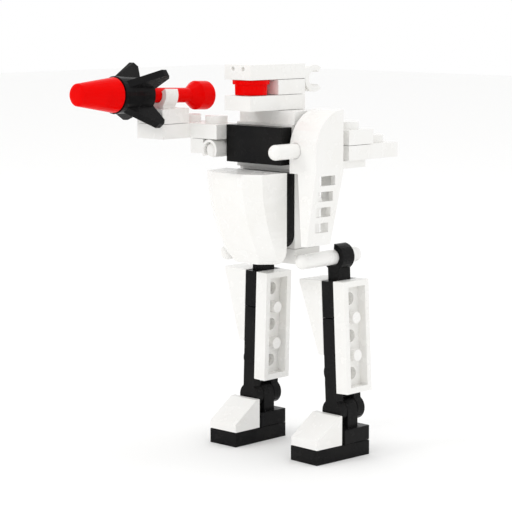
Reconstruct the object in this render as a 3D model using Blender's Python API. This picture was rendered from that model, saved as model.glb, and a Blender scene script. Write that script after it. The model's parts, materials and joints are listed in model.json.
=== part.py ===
"""Brick-built toy robot: a walking humanoid made of snap-together moulded pieces.

The robot faces -Y, its left side is +X, and it stands on Z = 0 with the feet either side of the
origin.  Every length below is in millimetres and is turned into metres when a mesh is made.
"""
import math

import bmesh
import bpy
from mathutils import Matrix, Vector

for old_object in list(bpy.data.objects):
    bpy.data.objects.remove(old_object, do_unlink=True)

# ---------------------------------------------------------------- the building system
MM = 0.001
PITCH = 8.0          # stud spacing
PLATE = 3.2          # height of a plate
SEAM = 0.1           # gap left between two pieces that rest on each other
SIDE = PITCH - 2 * SEAM
STUD_R = 2.4
STUD_H = 1.6
WALL = 1.25          # side wall round an underside
ROOF = 1.0           # wall left above an underside
PIN_R = 1.25         # pin between two studs, seen from below
TUBE_R = 3.1         # tube between four studs, seen from below
BAR_R = 1.6
CLIP_GAP = 0.08      # running clearance between a clip and the bar it holds
CLIP_R = 2.85
FACETS = 28

# ---------------------------------------------------------------- where things stand
TORSO_Y = -2.7       # middle of the torso's one-stud-deep column
PELVIS_Z = 41.6
BELLY_Z = PELVIS_Z + PLATE
BELLY_H = 5 * PLATE
CHEST_Z = BELLY_Z + BELLY_H
NECK_Z = CHEST_Z + 3 * PLATE
HEAD_Z = NECK_Z + PLATE

HIP_X = 10.9
HIP_Y = 4.0
HIP_Z = PELVIS_Z + 0.9
ANKLE_Z = 9.8
LEG_LENGTH = HIP_Z - ANKLE_Z
LEFT_SPLAY = math.radians(-2.8)
RIGHT_SPLAY = math.radians(1.8)
LEFT_TOE_TURN = math.radians(-3.0)
KNUCKLE_R = 2.6

LEFT_SHOULDER_X = 10.35
RIGHT_SHOULDER_X = -10.35
NECK_Y = TORSO_Y - 0.1
LEFT_SHOULDER_Z = 65.6
RIGHT_SHOULDER_Z = 64.85
WING_Z = 63.2
ARM_Z = CHEST_Z + 2 * PLATE          # underside of the right arm's corner plate
HEAD_TURN = math.radians(-3.0)

ROCKET_X = -20.0
ROCKET_Y = -17.6
ROCKET_Z = 76.25
ROCKET_TILT = math.radians(-2.3)

# ---------------------------------------------------------------- materials
COLOURS = {
    "white": ((0.86, 0.85, 0.82, 1.0), 0.22),
    "black": ((0.012, 0.012, 0.013, 1.0), 0.30),
    "red": ((0.78, 0.005, 0.008, 1.0), 0.16),
}


def make_material(node_name, colour):
    """One Principled material for one piece."""
    rgba, roughness = COLOURS[colour]
    material = bpy.data.materials.new(node_name + "_plastic")
    material.use_nodes = True
    shader = material.node_tree.nodes["Principled BSDF"]
    shader.inputs["Base Color"].default_value = rgba
    shader.inputs["Roughness"].default_value = roughness
    shader.inputs["Metallic"].default_value = 0.0
    material.diffuse_color = rgba
    return material


# ---------------------------------------------------------------- shape helpers, in millimetres
def box(x0, x1, y0, y1, z0, z1):
    """Box between two corners."""
    shape = bmesh.new()
    bmesh.ops.create_cube(shape, size=1.0)
    bmesh.ops.scale(shape, vec=(x1 - x0, y1 - y0, z1 - z0), verts=shape.verts)
    bmesh.ops.translate(shape, vec=((x0 + x1) / 2, (y0 + y1) / 2, (z0 + z1) / 2), verts=shape.verts)
    return shape


def turned(profile, axis, centre, facets=FACETS):
    """Solid turned about an axis line: profile is (distance along the axis, radius) from end to end."""
    shape = bmesh.new()
    rings = []
    for along, radius in profile:
        ring = []
        for step in range(facets):
            angle = 2 * math.pi * step / facets
            ring.append(shape.verts.new((radius * math.cos(angle), radius * math.sin(angle), along)))
        rings.append(ring)
    for low, high in zip(rings, rings[1:]):
        for step in range(facets):
            after = (step + 1) % facets
            shape.faces.new((low[step], low[after], high[after], high[step]))
    shape.faces.new(list(reversed(rings[0])))
    shape.faces.new(rings[-1])
    turn = {"X": Matrix.Rotation(math.pi / 2, 4, "Y"),
            "Y": Matrix.Rotation(-math.pi / 2, 4, "X"),
            "Z": Matrix.Identity(4)}[axis]
    bmesh.ops.transform(shape, matrix=Matrix.Translation(centre) @ turn, verts=shape.verts)
    bmesh.ops.recalc_face_normals(shape, faces=shape.faces)
    return shape


def rod(axis, centre, radius, start, end, facets=FACETS):
    """Plain cylinder from start to end along an axis through centre."""
    return turned([(start, radius), (end, radius)], axis, centre, facets)


def prism(axis, outline, start, end):
    """Outline swept along X, Y or Z; its points are the two other coordinates in X, Y, Z order."""
    shape = bmesh.new()
    place = {"X": lambda a, b, t: (t, a, b),
             "Y": lambda a, b, t: (a, t, b),
             "Z": lambda a, b, t: (a, b, t)}[axis]
    low = [shape.verts.new(place(a, b, start)) for a, b in outline]
    high = [shape.verts.new(place(a, b, end)) for a, b in outline]
    count = len(outline)
    shape.faces.new(low)
    shape.faces.new(list(reversed(high)))
    for step in range(count):
        after = (step + 1) % count
        shape.faces.new((low[after], low[step], high[step], high[after]))
    bmesh.ops.recalc_face_normals(shape, faces=shape.faces)
    return shape


def arc(centre, radius, start_deg, end_deg, steps):
    """Points along a circular arc."""
    points = []
    for step in range(steps + 1):
        angle = math.radians(start_deg + (end_deg - start_deg) * step / steps)
        points.append((centre[0] + radius * math.cos(angle), centre[1] + radius * math.sin(angle)))
    return points


def moved(shape, matrix):
    """The same shape, moved by a matrix in millimetres."""
    bmesh.ops.transform(shape, matrix=matrix, verts=shape.verts)
    return shape


def to_object(shape, name):
    """A scene object, in metres, from a shape in millimetres."""
    bmesh.ops.scale(shape, vec=(MM, MM, MM), verts=shape.verts)
    mesh = bpy.data.meshes.new(name)
    shape.to_mesh(mesh)
    shape.free()
    made = bpy.data.objects.new(name, mesh)
    bpy.context.collection.objects.link(made)
    return made


def combine(made, operation, shapes):
    """Join shapes to a solid, or cut them from it."""
    for shape in shapes:
        tool = to_object(shape, made.name + "_tool")
        modifier = made.modifiers.new("shape", "BOOLEAN")
        modifier.operation = operation
        modifier.solver = "EXACT"
        modifier.object = tool
        bpy.context.view_layer.update()
        evaluated = made.evaluated_get(bpy.context.evaluated_depsgraph_get())
        mesh = bpy.data.meshes.new_from_object(evaluated)
        made.modifiers.clear()
        made.data = mesh
        bpy.data.objects.remove(tool, do_unlink=True)


def piece(name, colour, base, adds=(), cuts=(), late_adds=(), parent=None):
    """One named solid: shapes are joined on, then cut away, then the last ones joined."""
    made = to_object(base, name)
    combine(made, "UNION", adds)
    combine(made, "DIFFERENCE", cuts)
    combine(made, "UNION", late_adds)
    made.data.name = name
    made.data.materials.clear()
    made.data.materials.append(make_material(name, colour))
    made.data.shade_smooth()
    made.data.set_sharp_from_angle(angle=math.radians(35))
    if parent is not None:
        made.parent = parent
    return made


def axis_frame(name, place, rotation=None, parent=None):
    """Empty that stands on a joint's axis and carries the pieces that move with it."""
    empty = bpy.data.objects.new(name, None)
    empty.empty_display_size = 0.004
    bpy.context.collection.objects.link(empty)
    matrix = Matrix.Translation(Vector(place) * MM)
    if rotation is not None:
        matrix = matrix @ rotation
    if parent is not None:
        empty.parent = parent
        bpy.context.view_layer.update()
    empty.matrix_world = matrix
    bpy.context.view_layer.update()
    return empty


# ---------------------------------------------------------------- shapes of the building system
TO_MINUS_X = Matrix.Rotation(-math.pi / 2, 4, "Y")     # a piece whose studs point to -X
TO_MINUS_Y = Matrix.Rotation(math.pi / 2, 4, "X")      # a piece whose studs point to -Y


def grid(count):
    """Stud places along one side, about its middle."""
    return [(index - (count - 1) / 2) * PITCH for index in range(count)]


def stud(x, y, z, height=STUD_H):
    """Stud standing on a face at height z."""
    return rod("Z", (x, y, 0), STUD_R, z - 0.3, z + height)


def tube(x, y, outer, inner, start, end):
    """Round tube standing along Z, open at both ends."""
    shape = bmesh.new()
    rings = []
    for radius, z in ((outer, start), (outer, end), (inner, end), (inner, start)):
        circle = arc((x, y), radius, 0, 360, FACETS)[:-1]
        rings.append([shape.verts.new((a, b, z)) for a, b in circle])
    for low, high in zip(rings, rings[1:] + rings[:1]):
        for step in range(FACETS):
            after = (step + 1) % FACETS
            shape.faces.new((low[step], low[after], high[after], high[step]))
    bmesh.ops.recalc_face_normals(shape, faces=shape.faces)
    return shape


def plate_shapes(across, deep, height=PLATE, studs=None, matrix=None, backs=False):
    """Plate or brick about the origin, underside at Z = 0: its block, what is added and what is cut."""
    half_x = across * PITCH / 2 - SEAM
    half_y = deep * PITCH / 2 - SEAM
    top = height - SEAM
    places = [(x, y) for x in grid(across) for y in grid(deep)] if studs is None else studs
    base = box(-half_x, half_x, -half_y, half_y, 0, top)
    adds = [stud(x, y, top) for x, y in places]
    cuts = [box(-half_x + WALL, half_x - WALL, -half_y + WALL, half_y - WALL, -1, top - ROOF)]
    if backs:
        cuts += [rod("Z", (x, y, 0), 1.35, top - ROOF - 0.2, top + 0.45) for x, y in places]
    between_x = [(a + b) / 2 for a, b in zip(grid(across), grid(across)[1:])] or [0.0]
    between_y = [(a + b) / 2 for a, b in zip(grid(deep), grid(deep)[1:])] or [0.0]
    middles = [(x, y) for x in between_x for y in between_y]
    pin_top = top - ROOF + 0.3
    if across > 1 and deep > 1:
        pin_shapes = [tube(x, y, TUBE_R, STUD_R, 0.2, pin_top) for x, y in middles]
    elif across > 1 or deep > 1:
        pin_shapes = [rod("Z", (x, y, 0), PIN_R, 0.2, pin_top, 20) for x, y in middles]
    else:
        pin_shapes = []
    if matrix is not None:
        for shape in [base] + adds + cuts + pin_shapes:
            moved(shape, matrix)
    return base, adds, cuts, pin_shapes


def plate(name, colour, across, deep, place, turn=None, parent=None, adds=(), cuts=(), **options):
    """Named plate or brick at a place, turned if asked, with any more shapes to join or cut."""
    matrix = Matrix.Translation(place)
    if turn is not None:
        matrix = matrix @ turn
    base, studs, hollows, pins = plate_shapes(across, deep, matrix=matrix, **options)
    return piece(name, colour, base, studs, hollows + list(cuts), pins + list(adds), parent)


def clip_ring(axis, centre, start, end, open_towards_deg, opening_deg=105, outer=CLIP_R, steps=20):
    """C-shaped clip round a bar; open_towards_deg is measured in the plane across the bar."""
    inner = BAR_R + CLIP_GAP
    first = open_towards_deg + opening_deg / 2
    last = open_towards_deg + 360 - opening_deg / 2
    outline = arc(centre, outer, first, last, steps) + arc(centre, inner, last, first, steps)
    return prism(axis, outline, start, end)


def round_ended_bar(axis, centre, start, end):
    """Bar with domed ends."""
    dome = BAR_R
    profile = []
    for step in range(1, 7):
        angle = math.radians(90 * step / 6)
        profile.append((start + dome * (1 - math.cos(angle)) * 0.8, BAR_R * math.sin(angle)))
    for step in range(6, 0, -1):
        angle = math.radians(90 * step / 6)
        profile.append((end - dome * (1 - math.cos(angle)) * 0.8, BAR_R * math.sin(angle)))
    return turned(profile, axis, centre)


# ---------------------------------------------------------------- legs
COLUMN_TOP = -4.8                       # top of a leg's black column, below the hip axis
COLUMN_BOTTOM = COLUMN_TOP - 3 * PITCH
COLUMN_BACK = -PLATE / 2                # the side of the column that carries the studs
HALF = SIDE / 2


def leg(side, hip_x, splay, toe_turn):
    """One leg: hip clip, black column, white shin plate and thigh fin, ankle and foot."""
    hip = axis_frame(side + "_hip_axis", (hip_x, HIP_Y, HIP_Z), Matrix.Rotation(splay, 4, "Y"))

    upper_middle = COLUMN_TOP - PITCH / 2
    neck = box(COLUMN_BACK, -COLUMN_BACK - SEAM, -1.8, 1.8, COLUMN_TOP - 1.0, -1.9)
    ring = clip_ring("Y", (0, 0), -1.8, 1.8, open_towards_deg=135)
    plate(side + "_hip_clip", "black", 1, 1, (-COLUMN_BACK - SEAM, 0, upper_middle),
          turn=TO_MINUS_X, parent=hip, adds=(neck, ring))

    lower_middle = COLUMN_TOP - 2 * PITCH
    knuckles = []
    for low, high in ((-HALF, -1.75), (1.75, HALF)):
        knuckles.append(box(COLUMN_BACK, -COLUMN_BACK - SEAM, low, high, -LEG_LENGTH, COLUMN_BOTTOM + 0.8))
        knuckles.append(rod("Y", (0, 0, -LEG_LENGTH), KNUCKLE_R, low, high))
    plate(side + "_shin_hinge", "black", 2, 1, (-COLUMN_BACK - SEAM, 0, lower_middle),
          turn=TO_MINUS_X, parent=hip, adds=knuckles)

    shin_middle = COLUMN_TOP - 1.5 * PITCH
    plate(side + "_shin_plate", "white", 3, 1, (-COLUMN_BACK + PLATE - SEAM, 0, shin_middle),
          turn=TO_MINUS_X, parent=hip, backs=True)

    fin_inner = COLUMN_BACK - SEAM
    fin_low = COLUMN_TOP - 2 * PITCH + SEAM
    fin_outer = fin_inner - 6.3
    fin_outline = [(fin_inner, COLUMN_TOP), (fin_outer, COLUMN_TOP), (fin_outer, COLUMN_TOP - 0.8),
                   (fin_inner - 1.5, fin_low), (fin_inner, fin_low)]
    sockets = [rod("X", (0, 0, upper_middle - step * PITCH), STUD_R + 0.1, fin_inner - 1.6, fin_inner + 1)
               for step in range(2)]
    piece(side + "_thigh_fin", "white", prism("Y", fin_outline, -HALF, HALF), cuts=sockets, parent=hip)

    ankle_x = hip_x - LEG_LENGTH * math.sin(splay)
    ankle = axis_frame(side + "_ankle_axis", (ankle_x, HIP_Y, ANKLE_Z))
    toe_yaw = Matrix.Rotation(toe_turn, 4, "Z")
    ground = -ANKLE_Z
    finger = [box(-KNUCKLE_R, KNUCKLE_R, -1.6, 1.6, 2 * PLATE - SEAM + ground - 0.4, 0),
              rod("Y", (0, 0, 0), KNUCKLE_R, -1.6, 1.6)]
    plate(side + "_ankle_base", "black", 1, 1, (0, 0, PLATE + ground), parent=ankle,
          studs=(), adds=finger)

    foot = axis_frame(side + "_foot_frame", (ankle_x, HIP_Y, 0), toe_yaw, parent=ankle)
    plate(side + "_sole", "black", 1, 2, (0, -PITCH / 2, 0), parent=foot)
    toe_back = -PITCH / 2 - 0.3
    toe_front = -1.5 * PITCH + SEAM
    toe_top = 3 * PLATE - SEAM
    toe_outline = [(toe_front, PLATE), (toe_back, PLATE), (toe_back, toe_top), (toe_back - 1.1, toe_top),
                   (toe_front, PLATE + 1.8)]
    hollow = box(-HALF + WALL, HALF - WALL, toe_front + WALL, toe_back - WALL, PLATE - 1, PLATE + 1.9)
    piece(side + "_toe_slope", "white", prism("X", toe_outline, -HALF, HALF), cuts=(hollow,), parent=foot)


leg("left", HIP_X, LEFT_SPLAY, LEFT_TOE_TURN)
leg("right", -HIP_X, RIGHT_SPLAY, 0.0)


# ---------------------------------------------------------------- pelvis and torso
def pelvis():
    """Hip plate with a bar along each side for the legs to hang on."""
    shapes = []
    for side in (-1, 1):
        shapes.append(round_ended_bar("Y", (side * HIP_X, 0, HIP_Z), -8.8, 10.3))
        inner, outer = sorted((side * (PITCH - 1.0), side * (HIP_X - 0.5)))
        shapes.append(box(inner, outer, TORSO_Y - HALF, TORSO_Y + HALF - 0.2, PELVIS_Z + 0.1, PELVIS_Z + 1.7))
    plate("pelvis_plate", "white", 2, 1, (0, TORSO_Y, PELVIS_Z), adds=shapes)


def torso():
    """Column of the torso from the belly brick to the neck, with what is fixed to its front."""
    front = TORSO_Y - HALF
    side_studs = [rod("Y", (x, 0, BELLY_Z + z), STUD_R, front - STUD_H, front + 0.5)
                  for x in grid(2) for z in (PITCH / 2, 1.5 * PITCH)]
    plate("torso_brick", "white", 2, 1, (0, TORSO_Y, BELLY_Z), height=BELLY_H, adds=side_studs)

    belly_turn = TO_MINUS_Y
    corner = 3.0
    middle_z = BELLY_Z + PITCH
    cutters = []
    for side in (-1, 1):
        centre = (side * (PITCH - SEAM - corner), middle_z - PITCH + SEAM + corner)
        beyond_x = centre[0] + side * (corner + 1)
        beyond_z = centre[1] - corner - 1
        edge = [(beyond_x, centre[1]), (beyond_x, beyond_z), (centre[0], beyond_z)]
        start, stop = (270, 360) if side > 0 else (270, 180)
        cutters.append(prism("Y", edge + arc(centre, corner, start, stop, 8), front - PLATE - 1, front + 1))
    plate("belly_plate", "black", 2, 2, (0, front - SEAM, middle_z), turn=belly_turn, cuts=cutters)

    flange_top = WING_Z - SEAM
    flange = box(-14.5, 14.5, TORSO_Y + HALF - 0.5, TORSO_Y + HALF + 7.0, flange_top - 1.6, flange_top)
    flange_studs = [stud(x, TORSO_Y + HALF + 4.0, flange_top) for x in grid(4)]
    plate("back_bracket", "white", 2, 1, (0, TORSO_Y, CHEST_Z), adds=[flange] + flange_studs)

    web_end = PITCH - 0.5
    left_low = LEFT_SHOULDER_Z - 0.9
    left_bar = round_ended_bar("Y", (LEFT_SHOULDER_X, 0, LEFT_SHOULDER_Z), -16.4, -2.2)
    left_web = box(web_end, LEFT_SHOULDER_X - 1.1, -6.0, -2.6, left_low, left_low + 1.8)
    right_low = RIGHT_SHOULDER_Z - 0.7
    right_bar = round_ended_bar("Y", (RIGHT_SHOULDER_X, 0, RIGHT_SHOULDER_Z), -13.5, 0.6)
    right_web = box(RIGHT_SHOULDER_X + 1.1, -web_end, -5.4, 0.4, right_low, right_low + 1.4)
    bars = [left_bar, left_web, right_bar, right_web]
    plate("shoulder_bar_plate", "white", 2, 1, (0, TORSO_Y, CHEST_Z + PLATE), adds=bars)

    wall_back = front - 2 * SEAM
    wall_front = wall_back - 0.7
    wall_low = CHEST_Z + 0.6
    bridge = box(-HALF - 4, HALF + 4, wall_front, front + 0.6, CHEST_Z + 2 * PLATE + 0.1, NECK_Z - SEAM)
    wall = box(-PITCH + SEAM, PITCH - SEAM, wall_front, wall_back, wall_low, NECK_Z + 0.4)
    tile_z = CHEST_Z + 5.6
    chest_studs = [rod("Y", (x, 0, tile_z), STUD_R, wall_front - STUD_H, wall_front + 0.3)
                   for x in grid(2)]
    plate("chest_bracket", "white", 2, 1, (0, TORSO_Y, CHEST_Z + 2 * PLATE),
          adds=[bridge, wall] + chest_studs)
    plate("chest_tile", "black", 2, 1, (0, wall_front - SEAM, tile_z), turn=TO_MINUS_Y, studs=())

    plate("neck_plate", "white", 2, 1, (0, NECK_Y, NECK_Z), studs=((0, 0),))


SHELL_TOP = 61.0
SHELL_BOTTOM = 41.6
SHELL_BACK = TORSO_Y - HALF - PLATE - SEAM
SHELL_HALF = 8.75


def shell_section(height, inset, back):
    """Half outline of the breast shell at a height, from the rear edge to the middle of the front."""
    drop = (SHELL_TOP - height) / (SHELL_TOP - SHELL_BOTTOM)
    bulge = 1 - min(drop, 1.0) ** 2
    side_depth = 0.35 + 6.2 * bulge
    half = SHELL_HALF - inset
    corner = 3.4
    above = height - SHELL_BOTTOM
    if above < corner:
        half -= corner - math.sqrt(max(corner ** 2 - (corner - above) ** 2, 0.0))
    edge_x = half * (0.91 - 0.06 * drop)
    front_x = half * 0.5
    return [(half, back), (edge_x, SHELL_BACK - side_depth + inset),
            (front_x, SHELL_BACK - side_depth - 2.3 + inset)]


def lofted(heights, inset, back):
    """Closed loft through shell sections at the given heights."""
    shape = bmesh.new()
    rings = []
    for height in heights:
        half = shell_section(height, inset, back)
        outline = half + [(-x, y) for x, y in reversed(half)]
        rings.append([shape.verts.new((x, y, height)) for x, y in outline])
    count = len(rings[0])
    for low, high in zip(rings, rings[1:]):
        for step in range(count):
            after = (step + 1) % count
            shape.faces.new((low[step], low[after], high[after], high[step]))
    shape.faces.new(rings[0])
    shape.faces.new(list(reversed(rings[-1])))
    bmesh.ops.triangulate(shape, faces=shape.faces)
    bmesh.ops.recalc_face_normals(shape, faces=shape.faces)
    return shape


def breast_shell():
    """Crowned white shell over the belly, hollow behind."""
    rise = SHELL_TOP - SHELL_BOTTOM
    heights = [SHELL_BOTTOM + rise * (step / 16) ** 1.4 for step in range(17)]
    outer = lofted([max(value, SHELL_BOTTOM + 0.05) for value in heights], 0.0, SHELL_BACK)
    inner_heights = [SHELL_BOTTOM + 3.0 + (rise - 4.3) * step / 8 for step in range(9)]
    inner = lofted(inner_heights, 1.3, SHELL_BACK + 2)
    piece("breast_shell", "white", outer, cuts=(inner,))


pelvis()
torso()
breast_shell()


# ---------------------------------------------------------------- back and wings
def wings():
    """Plates that stand out behind the shoulders."""
    rear_y = TORSO_Y + HALF + PITCH
    plate("wing_long_plate", "white", 4, 2, (0, rear_y, WING_Z))
    plate("wing_top_plate", "white", 4, 1, (0, rear_y - PITCH / 2, WING_Z + PLATE))


wings()


# ---------------------------------------------------------------- head
def head():
    """Head that turns on the neck's middle stud: jaw, red lamp, brow with a rear clip."""
    turn = axis_frame("neck_axis", (0, NECK_Y, HEAD_Z), Matrix.Rotation(HEAD_TURN, 4, "Z"))
    middle = -0.2 - PITCH / 2
    plate("jaw_plate", "white", 1, 2, (0, middle, 0), parent=turn)

    lamp_y = middle - PITCH / 2
    lamp_profile = [(PLATE, 3.35), (PLATE + 2.15, 3.4), (PLATE + 2.2, 3.85), (2 * PLATE - SEAM, 3.9)]
    lamp_stud = rod("Z", (0, lamp_y, 0), STUD_R, 2 * PLATE - SEAM - 0.3, 2 * PLATE - SEAM + STUD_H)
    lamp_hollow = rod("Z", (0, lamp_y, 0), STUD_R + 0.15, PLATE - 1, PLATE + 1.9)
    piece("visor_lamp", "red", turned(lamp_profile, "Z", (0, lamp_y, 0)),
          adds=(lamp_stud,), cuts=(lamp_hollow,), parent=turn)

    plate("head_core", "white", 1, 1, (0, middle + PITCH / 2, PLATE), parent=turn)

    back = middle + PITCH - SEAM
    clip_y = back + 2.85
    clip_z = 2 * PLATE - 0.1
    root = box(-HALF, HALF, back - 0.2, back + 0.9, 2 * PLATE + 0.1, 3 * PLATE - 1.0)
    ring = clip_ring("X", (clip_y, clip_z), -HALF, HALF, open_towards_deg=0, opening_deg=100)
    front = middle - PITCH + SEAM
    eyes = [rod("Y", (x, 0, 3 * PLATE - 0.9), 0.45, front - 1, front + 0.6, 16) for x in (-1.3, 1.7)]
    plate("brow_plate", "white", 1, 2, (0, middle, 2 * PLATE), parent=turn, studs=(),
          adds=(root, ring), cuts=eyes)


head()


# ---------------------------------------------------------------- left arm
ARM_IN = 8.9
ARM_OUT = 16.2
ARM_FRONT = -9.3
ARM_BACK = -0.8
ARM_LEDGE_Z = 60.9
ARM_TOP_Z = 74.0
ARM_TIP_Z = 46.4
ARM_WALL = 1.2


def tapered(low_ring, low_z, high_ring, high_z):
    """Four-sided solid between two rectangles at two heights: each is (x0, x1, y0, y1)."""
    shape = bmesh.new()
    rings = []
    for (x0, x1, y0, y1), z in ((low_ring, low_z), (high_ring, high_z)):
        rings.append([shape.verts.new((x, y, z)) for x, y in ((x0, y0), (x1, y0), (x1, y1), (x0, y1))])
    shape.faces.new(rings[0])
    shape.faces.new(list(reversed(rings[1])))
    for step in range(4):
        after = (step + 1) % 4
        shape.faces.new((rings[0][after], rings[0][step], rings[1][step], rings[1][after]))
    bmesh.ops.recalc_face_normals(shape, faces=shape.faces)
    return shape


def left_arm():
    """Hollow arm shell with a rounded shoulder, four slots down its side and a clip inside."""
    shoulder = axis_frame("left_shoulder_axis", (LEFT_SHOULDER_X, 0, LEFT_SHOULDER_Z))
    to_local = Matrix.Translation((-LEFT_SHOULDER_X, 0, -LEFT_SHOULDER_Z))
    radius = ARM_BACK - ARM_FRONT
    centre = (ARM_BACK, ARM_TOP_Z - radius)
    outline = arc(centre, radius, 90, 180, 12) + [(ARM_FRONT, ARM_LEDGE_Z), (ARM_BACK, ARM_LEDGE_Z)]
    pauldron = prism("X", outline, ARM_IN, ARM_OUT)
    inner_back = ARM_BACK - ARM_WALL
    inner_low = ARM_LEDGE_Z + ARM_WALL
    inner_outline = arc((inner_back, centre[1]), radius - 2 * ARM_WALL, 90, 180, 12)
    inner_outline += [(ARM_FRONT + ARM_WALL, inner_low), (inner_back, inner_low)]
    upper_hollow = prism("X", inner_outline, ARM_IN - 1, ARM_OUT - ARM_WALL)

    top_ring = (11.2, ARM_OUT, ARM_FRONT, ARM_BACK)
    tip_ring = (14.7, ARM_OUT, -12.0, -4.8)
    forearm = tapered(tip_ring, ARM_TIP_Z, top_ring, ARM_LEDGE_Z + 0.3)
    hollow_top = (ARM_IN - 1, ARM_OUT - ARM_WALL, ARM_FRONT + ARM_WALL, ARM_BACK - ARM_WALL)
    hollow_tip = (ARM_IN - 1, ARM_OUT - ARM_WALL, -11.6 + ARM_WALL, -4.4 - ARM_WALL)
    lower_hollow = tapered(hollow_tip, ARM_TIP_Z + 2.2, hollow_top, ARM_LEDGE_Z + 0.2)

    slots = []
    for step in range(4):
        slot_z = 59.6 - 3.2 * step
        slots.append(box(ARM_OUT - 3, ARM_OUT + 1, -8.0 - 0.5 * step, -3.3 - 0.7 * step, slot_z - 1.0, slot_z + 1.0))

    clip = clip_ring("Y", (LEFT_SHOULDER_X, LEFT_SHOULDER_Z), -7.6, -6.3, open_towards_deg=180, opening_deg=110)
    web = box(LEFT_SHOULDER_X + BAR_R + 0.3, ARM_OUT - 0.5, -7.6, -6.3, LEFT_SHOULDER_Z - 1.0, LEFT_SHOULDER_Z + 1.0)
    boss = rod("X", (0, -8.0, 55.0), 1.5, 12.6, ARM_OUT - 0.6, 20)
    passage = rod("Y", (LEFT_SHOULDER_X, 0, LEFT_SHOULDER_Z), BAR_R + CLIP_GAP, ARM_FRONT - 1, ARM_FRONT + 1.5)
    cuts = [upper_hollow, lower_hollow, passage] + slots
    for shape in cuts + [pauldron, forearm, clip, web, boss]:
        moved(shape, to_local)
    piece("left_arm_shell", "white", pauldron, adds=(forearm,), cuts=cuts, late_adds=(clip, web, boss),
          parent=shoulder)


left_arm()


# ---------------------------------------------------------------- right arm and rocket
def right_arm():
    """Corner plate held on the right shoulder bar, with a clip plate at the hand."""
    shoulder = axis_frame("right_shoulder_axis", (RIGHT_SHOULDER_X, 0, RIGHT_SHOULDER_Z))
    to_local = Matrix.Translation((-RIGHT_SHOULDER_X, 0, -RIGHT_SHOULDER_Z))
    inner_x = ROCKET_X + PITCH
    rear_y = ROCKET_Y + PITCH
    top = ARM_Z + PLATE - SEAM
    long_arm = box(ROCKET_X - HALF, ROCKET_X + HALF, ROCKET_Y - HALF, rear_y + HALF, ARM_Z, top)
    short_arm = box(ROCKET_X, inner_x + HALF, rear_y - HALF, rear_y + HALF, ARM_Z, top)
    studs = [stud(ROCKET_X, ROCKET_Y, top), stud(ROCKET_X, rear_y, top), stud(inner_x, rear_y, top)]
    inside = HALF - WALL
    hollows = [box(ROCKET_X - inside, ROCKET_X + inside, ROCKET_Y - inside, rear_y + inside, ARM_Z - 1, top - ROOF),
               box(ROCKET_X, inner_x + inside, rear_y - inside, rear_y + inside, ARM_Z - 1, top - ROOF)]
    pins = [rod("Z", (ROCKET_X, ROCKET_Y + PITCH / 2, 0), PIN_R, ARM_Z + 0.2, top - ROOF + 0.3, 20),
            rod("Z", (ROCKET_X + PITCH / 2, rear_y, 0), PIN_R, ARM_Z + 0.2, top - ROOF + 0.3, 20)]
    for shape in [long_arm, short_arm] + studs + hollows + pins:
        moved(shape, to_local)
    piece("arm_corner_plate", "white", long_arm, adds=[short_arm] + studs, cuts=hollows, late_adds=pins,
          parent=shoulder)

    grip_top = ARM_Z - SEAM
    block = box(inner_x - HALF, inner_x - 0.2, rear_y - HALF, rear_y + HALF, ARM_Z - PLATE, grip_top)
    grip_stud = rod("Z", (inner_x, rear_y, 0), STUD_R, grip_top - 0.2, grip_top + STUD_H)
    ring = clip_ring("Y", (RIGHT_SHOULDER_X, RIGHT_SHOULDER_Z), rear_y - HALF, rear_y + HALF,
                     open_towards_deg=270, opening_deg=110, outer=2.25)
    for shape in (block, grip_stud, ring):
        moved(shape, to_local)
    piece("right_arm_clip", "white", block, adds=(ring, grip_stud), parent=shoulder)

    hand_z = ARM_Z + PLATE
    place = Matrix.Translation((ROCKET_X, ROCKET_Y, hand_z))
    base, _, hollow, _ = plate_shapes(1, 1, studs=(), matrix=place)
    tilt = Matrix.Translation((ROCKET_X, ROCKET_Y, ROCKET_Z)) @ Matrix.Rotation(ROCKET_TILT, 4, "X")
    ring = moved(clip_ring("Y", (0, 0), -1.8, 1.8, open_towards_deg=90, opening_deg=120), tilt)
    post = box(ROCKET_X - 1.9, ROCKET_X + 1.9, ROCKET_Y - 1.8, ROCKET_Y + 1.8, hand_z + PLATE - 0.5,
               ROCKET_Z - BAR_R + 0.3)
    bore = moved(rod("Y", (0, 0, 0), 0.5 * (BAR_R + CLIP_R), -5, 5), tilt)
    for shape in [base, ring, post, bore] + hollow:
        moved(shape, to_local)
    piece("rocket_clip_plate", "white", base, adds=(post,), cuts=hollow + [bore], late_adds=(ring,),
          parent=shoulder)


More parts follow.
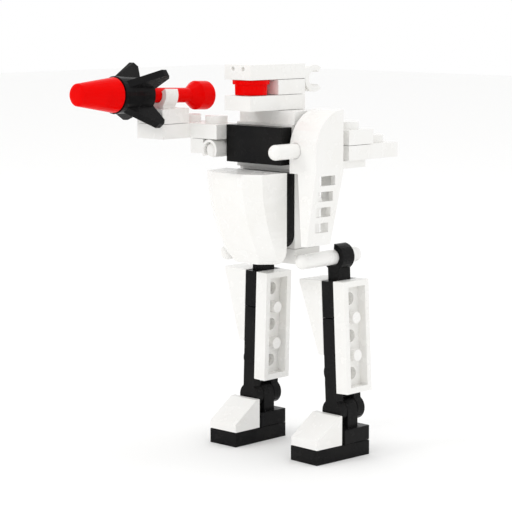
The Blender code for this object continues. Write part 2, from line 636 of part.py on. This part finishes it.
def rocket():
    """Red rod that slides in the hand's clip, with a finned collar and a nose cone on its front end."""
    line = axis_frame("rocket_axis", (ROCKET_X, ROCKET_Y, ROCKET_Z), Matrix.Rotation(ROCKET_TILT, 4, "X"))
    rod_front = -12.5
    knob_profile = [(rod_front, 1.35), (rod_front + 0.25, BAR_R), (7.15, BAR_R), (9.4, 3.12), (12.6, 3.12),
                    (12.9, 2.95), (13.0, 2.6)]
    piece("rocket_rod", "red", turned(knob_profile, "Y", (0, 0, 0)), parent=line)

    collar_back = -5.2
    collar_front = -14.0
    fins = []
    for quarter in range(4):
        outline = [(-13.4, 2.6), (-13.4, 3.5), (-6.0, 7.9), (-4.7, 7.9), (-4.0, 6.9), (-5.25, 3.3), (-5.25, 2.6)]
        turn = Matrix.Rotation(math.radians(52 + 90 * quarter), 4, "Y")
        fins.append(moved(prism("X", outline, -0.8, 0.8), turn))
    body = turned([(collar_front, 3.95), (collar_back - 0.3, 3.62), (collar_back, 3.3)], "Y", (0, 0, 0))
    spigot = rod("Y", (0, 0, 0), STUD_R, collar_front - STUD_H, collar_front + 0.3)
    bore = rod("Y", (0, 0, 0), BAR_R + 0.1, rod_front - SEAM, 1)
    piece("fin_collar", "black", body, adds=fins + [spigot], cuts=(bore,), parent=line)

    nose_back = collar_front - SEAM
    nose_front = -24.6
    nose_profile = [(nose_front, 1.5), (nose_front + 0.15, 2.0), (nose_front + 0.5, 2.35),
                    (nose_back - 0.2, 3.72), (nose_back, 3.6)]
    socket = rod("Y", (0, 0, 0), STUD_R + 0.1, nose_back - STUD_H - SEAM, nose_back + 1)
    piece("nose_cone", "red", turned(nose_profile, "Y", (0, 0, 0)), cuts=(socket,), parent=line)


right_arm()
rocket()


# ---------------------------------------------------------------- origin under the middle of the robot
MIDDLE_X = -4.861
MIDDLE_Y = -12.57
for item in bpy.data.objects:
    if item.parent is None:
        item.location -= Vector((MIDDLE_X, MIDDLE_Y, 0.0)) * MM
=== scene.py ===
"""Looks of the brick-built toy robot: moulded plastics, rounded edges, studio light and camera.

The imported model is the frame.  Every solid in it stays where it is, and gets softened edges and a
procedural plastic.  Lengths are in metres.
"""

import json
import math

import bpy
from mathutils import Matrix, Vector

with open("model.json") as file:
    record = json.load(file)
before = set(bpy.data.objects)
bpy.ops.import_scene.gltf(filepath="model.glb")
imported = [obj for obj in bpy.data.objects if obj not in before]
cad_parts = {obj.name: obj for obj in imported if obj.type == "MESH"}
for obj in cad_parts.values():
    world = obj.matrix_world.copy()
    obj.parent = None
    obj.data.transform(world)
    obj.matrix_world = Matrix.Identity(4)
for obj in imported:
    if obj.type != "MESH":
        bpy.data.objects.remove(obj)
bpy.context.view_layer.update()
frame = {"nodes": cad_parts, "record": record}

MM = 0.001
SHARP_EDGE = math.radians(24)      # edges that turn more than this are rounded
EDGE_RADIUS = 0.16 * MM
EDGE_STEPS = 2
WELD_GAP = 0.002 * MM

# ---------------------------------------------------------------- plastics
WHITE = dict(colour=(0.905, 0.900, 0.880), shade=(0.880, 0.870, 0.840),
             gloss=(0.20, 0.30), grain=0.05, specular=0.5)
BLACK = dict(colour=(0.0070, 0.0070, 0.0075), shade=(0.0130, 0.0125, 0.0120),
             gloss=(0.17, 0.32), grain=0.10, specular=0.06)
RED = dict(colour=(0.84, 0.0015, 0.0012), shade=(0.76, 0.0010, 0.0010),
           gloss=(0.12, 0.20), grain=0.03, specular=0.03)

CLOUD_SCALE = 140.0                # noise repeats per metre
SPECK_SCALE = 5200.0
SMEAR_SCALE = 420.0
GRAIN_SCALE = 3800.0
SAG_SCALE = 210.0
SPECK_SHARE = 0.35                 # the rest of the tint is cloud
TINT_DARK_AT = 0.34                # noise value where the shade ends and the colour begins to mix in
TINT_LIGHT_AT = 0.58
GRAIN_DEPTH = 0.02 * MM
SAG_DEPTH = 0.06 * MM
SAG_STRENGTH = 0.35
PLASTIC_IOR = 1.53


def noise(nodes, links, coordinates, scale, detail=3.0, roughness=0.55):
    """Noise texture over the piece, scale in repeats per metre."""
    texture = nodes.new("ShaderNodeTexNoise")
    texture.inputs["Scale"].default_value = scale
    texture.inputs["Detail"].default_value = detail
    texture.inputs["Roughness"].default_value = roughness
    links.new(coordinates.outputs["Object"], texture.inputs["Vector"])
    return texture


def ranged(nodes, links, source, low, high):
    """The source's middle range spread from low to high."""
    spread = nodes.new("ShaderNodeMapRange")
    spread.inputs["From Min"].default_value = 0.3
    spread.inputs["From Max"].default_value = 0.7
    spread.inputs["To Min"].default_value = low
    spread.inputs["To Max"].default_value = high
    links.new(source.outputs["Fac"], spread.inputs["Value"])
    return spread


def moulded_plastic(name, colour, shade, gloss, grain, specular):
    """Injection-moulded plastic: cloudy, speckled tint, uneven gloss, fine grain and slight sink marks."""
    material = bpy.data.materials.new(name)
    material.use_nodes = True
    nodes = material.node_tree.nodes
    links = material.node_tree.links
    shader = nodes["Principled BSDF"]
    coordinates = nodes.new("ShaderNodeTexCoord")

    clouds = noise(nodes, links, coordinates, CLOUD_SCALE)
    specks = noise(nodes, links, coordinates, SPECK_SCALE, detail=1.0)
    tint = nodes.new("ShaderNodeValToRGB")
    tint.color_ramp.elements[0].position = TINT_DARK_AT
    tint.color_ramp.elements[0].color = (*shade, 1.0)
    tint.color_ramp.elements[1].position = TINT_LIGHT_AT
    tint.color_ramp.elements[1].color = (*colour, 1.0)
    blend = nodes.new("ShaderNodeMath")
    blend.operation = "MULTIPLY_ADD"
    blend.inputs[1].default_value = SPECK_SHARE
    links.new(specks.outputs["Fac"], blend.inputs[0])
    share = nodes.new("ShaderNodeMath")
    share.operation = "MULTIPLY"
    share.inputs[1].default_value = 1.0 - SPECK_SHARE
    links.new(clouds.outputs["Fac"], share.inputs[0])
    links.new(share.outputs["Value"], blend.inputs[2])
    links.new(blend.outputs["Value"], tint.inputs["Fac"])
    links.new(tint.outputs["Color"], shader.inputs["Base Color"])

    smears = noise(nodes, links, coordinates, SMEAR_SCALE, detail=4.0)
    links.new(ranged(nodes, links, smears, *gloss).outputs["Result"], shader.inputs["Roughness"])

    fine = noise(nodes, links, coordinates, GRAIN_SCALE, detail=2.0)
    sag = noise(nodes, links, coordinates, SAG_SCALE, detail=1.0)
    grain_bump = nodes.new("ShaderNodeBump")
    grain_bump.inputs["Strength"].default_value = grain
    grain_bump.inputs["Distance"].default_value = GRAIN_DEPTH
    links.new(fine.outputs["Fac"], grain_bump.inputs["Height"])
    sag_bump = nodes.new("ShaderNodeBump")
    sag_bump.inputs["Strength"].default_value = SAG_STRENGTH
    sag_bump.inputs["Distance"].default_value = SAG_DEPTH
    links.new(sag.outputs["Fac"], sag_bump.inputs["Height"])
    links.new(grain_bump.outputs["Normal"], sag_bump.inputs["Normal"])
    links.new(sag_bump.outputs["Normal"], shader.inputs["Normal"])

    shader.inputs["IOR"].default_value = PLASTIC_IOR
    shader.inputs["Specular IOR Level"].default_value = specular
    material.diffuse_color = (*colour, 1.0)
    return material


PLASTICS = {
    "white_plastic": moulded_plastic("white_moulded", **WHITE),
    "black_plastic": moulded_plastic("black_moulded", **BLACK),
    "red_plastic": moulded_plastic("red_moulded", **RED),
}
SLOT_OF = {part["node"]: part["material_slot"] for part in frame["record"]["subparts"]}


# ---------------------------------------------------------------- the robot's own pieces
def soften(node, piece):
    """Plastic, welded seams and rounded edges on one solid of the frame."""
    piece.data.materials.clear()
    piece.data.materials.append(PLASTICS[SLOT_OF[node]])
    weld = piece.modifiers.new("weld", "WELD")
    weld.merge_threshold = WELD_GAP
    rounding = piece.modifiers.new("rounding", "BEVEL")
    rounding.width = EDGE_RADIUS
    rounding.segments = EDGE_STEPS
    rounding.limit_method = "ANGLE"
    rounding.angle_limit = SHARP_EDGE
    rounding.harden_normals = True


for node_name, node_piece in frame["nodes"].items():
    soften(node_name, node_piece)


# ---------------------------------------------------------------- studio
FLOOR_SIDE = 3.0
FLOOR_COLOUR = (0.96, 0.96, 0.955, 1.0)
SENSOR_WIDTH = 36.0                       # mm
CAMERA_AZIMUTH = math.radians(43.72)      # from straight in front, towards the robot's left
CAMERA_HEIGHT = math.radians(7.86)
CAMERA_DISTANCE = 410.16 * MM
CAMERA_LENS = 136.86                      # mm
CAMERA_AIM = Vector((4.365, 3.113, 42.83)) * MM
KEY_LIGHT = dict(place=(-0.20, -0.60, 0.35), size=0.14, power=0.45)
TOP_LIGHT = dict(place=(0.0, 0.10, 0.80), size=0.30, power=0.60)
BACKDROP_BRIGHTNESS = 1.0


def studio_floor():
    """Wide pale sheet that the robot stands on."""
    half = FLOOR_SIDE / 2
    mesh = bpy.data.meshes.new("floor")
    corners = [(-half, -half, 0), (half, -half, 0), (half, half, 0), (-half, half, 0)]
    mesh.from_pydata(corners, [], [(0, 1, 2, 3)])
    floor = bpy.data.objects.new("floor", mesh)
    bpy.context.collection.objects.link(floor)
    material = bpy.data.materials.new("floor_paper")
    material.use_nodes = True
    shader = material.node_tree.nodes["Principled BSDF"]
    shader.inputs["Base Color"].default_value = FLOOR_COLOUR
    shader.inputs["Roughness"].default_value = 0.9
    shader.inputs["Specular IOR Level"].default_value = 0.1
    mesh.materials.append(material)


def softbox(name, place, size, power):
    """Square area light aimed where the camera looks."""
    data = bpy.data.lights.new(name, "AREA")
    data.shape = "SQUARE"
    data.size = size
    data.energy = power
    lamp = bpy.data.objects.new(name, data)
    lamp.location = place
    lamp.rotation_euler = (CAMERA_AIM - Vector(place)).to_track_quat("-Z", "Y").to_euler()
    bpy.context.collection.objects.link(lamp)


def backdrop_light(brightness):
    """Even white light from all round."""
    world = bpy.data.worlds.new("studio")
    world.use_nodes = True
    background = world.node_tree.nodes["Background"]
    background.inputs["Color"].default_value = (1.0, 1.0, 1.0, 1.0)
    background.inputs["Strength"].default_value = brightness
    bpy.context.scene.world = world


def camera():
    """Camera that looks at the robot's front left side from slightly above."""
    data = bpy.data.cameras.new("camera")
    data.lens = CAMERA_LENS
    data.sensor_width = SENSOR_WIDTH
    data.clip_start = 0.01
    eye = bpy.data.objects.new("camera", data)
    level = math.cos(CAMERA_HEIGHT)
    sideways = math.sin(CAMERA_AZIMUTH) * level
    forwards = -math.cos(CAMERA_AZIMUTH) * level
    away = Vector((sideways, forwards, math.sin(CAMERA_HEIGHT)))
    eye.location = CAMERA_AIM + away * CAMERA_DISTANCE
    eye.rotation_euler = (-away).to_track_quat("-Z", "Y").to_euler()
    bpy.context.collection.objects.link(eye)
    bpy.context.scene.camera = eye


studio_floor()
backdrop_light(BACKDROP_BRIGHTNESS)
softbox("key", **KEY_LIGHT)
softbox("top", **TOP_LIGHT)
camera()
bpy.context.scene.view_settings.view_transform = "Standard"
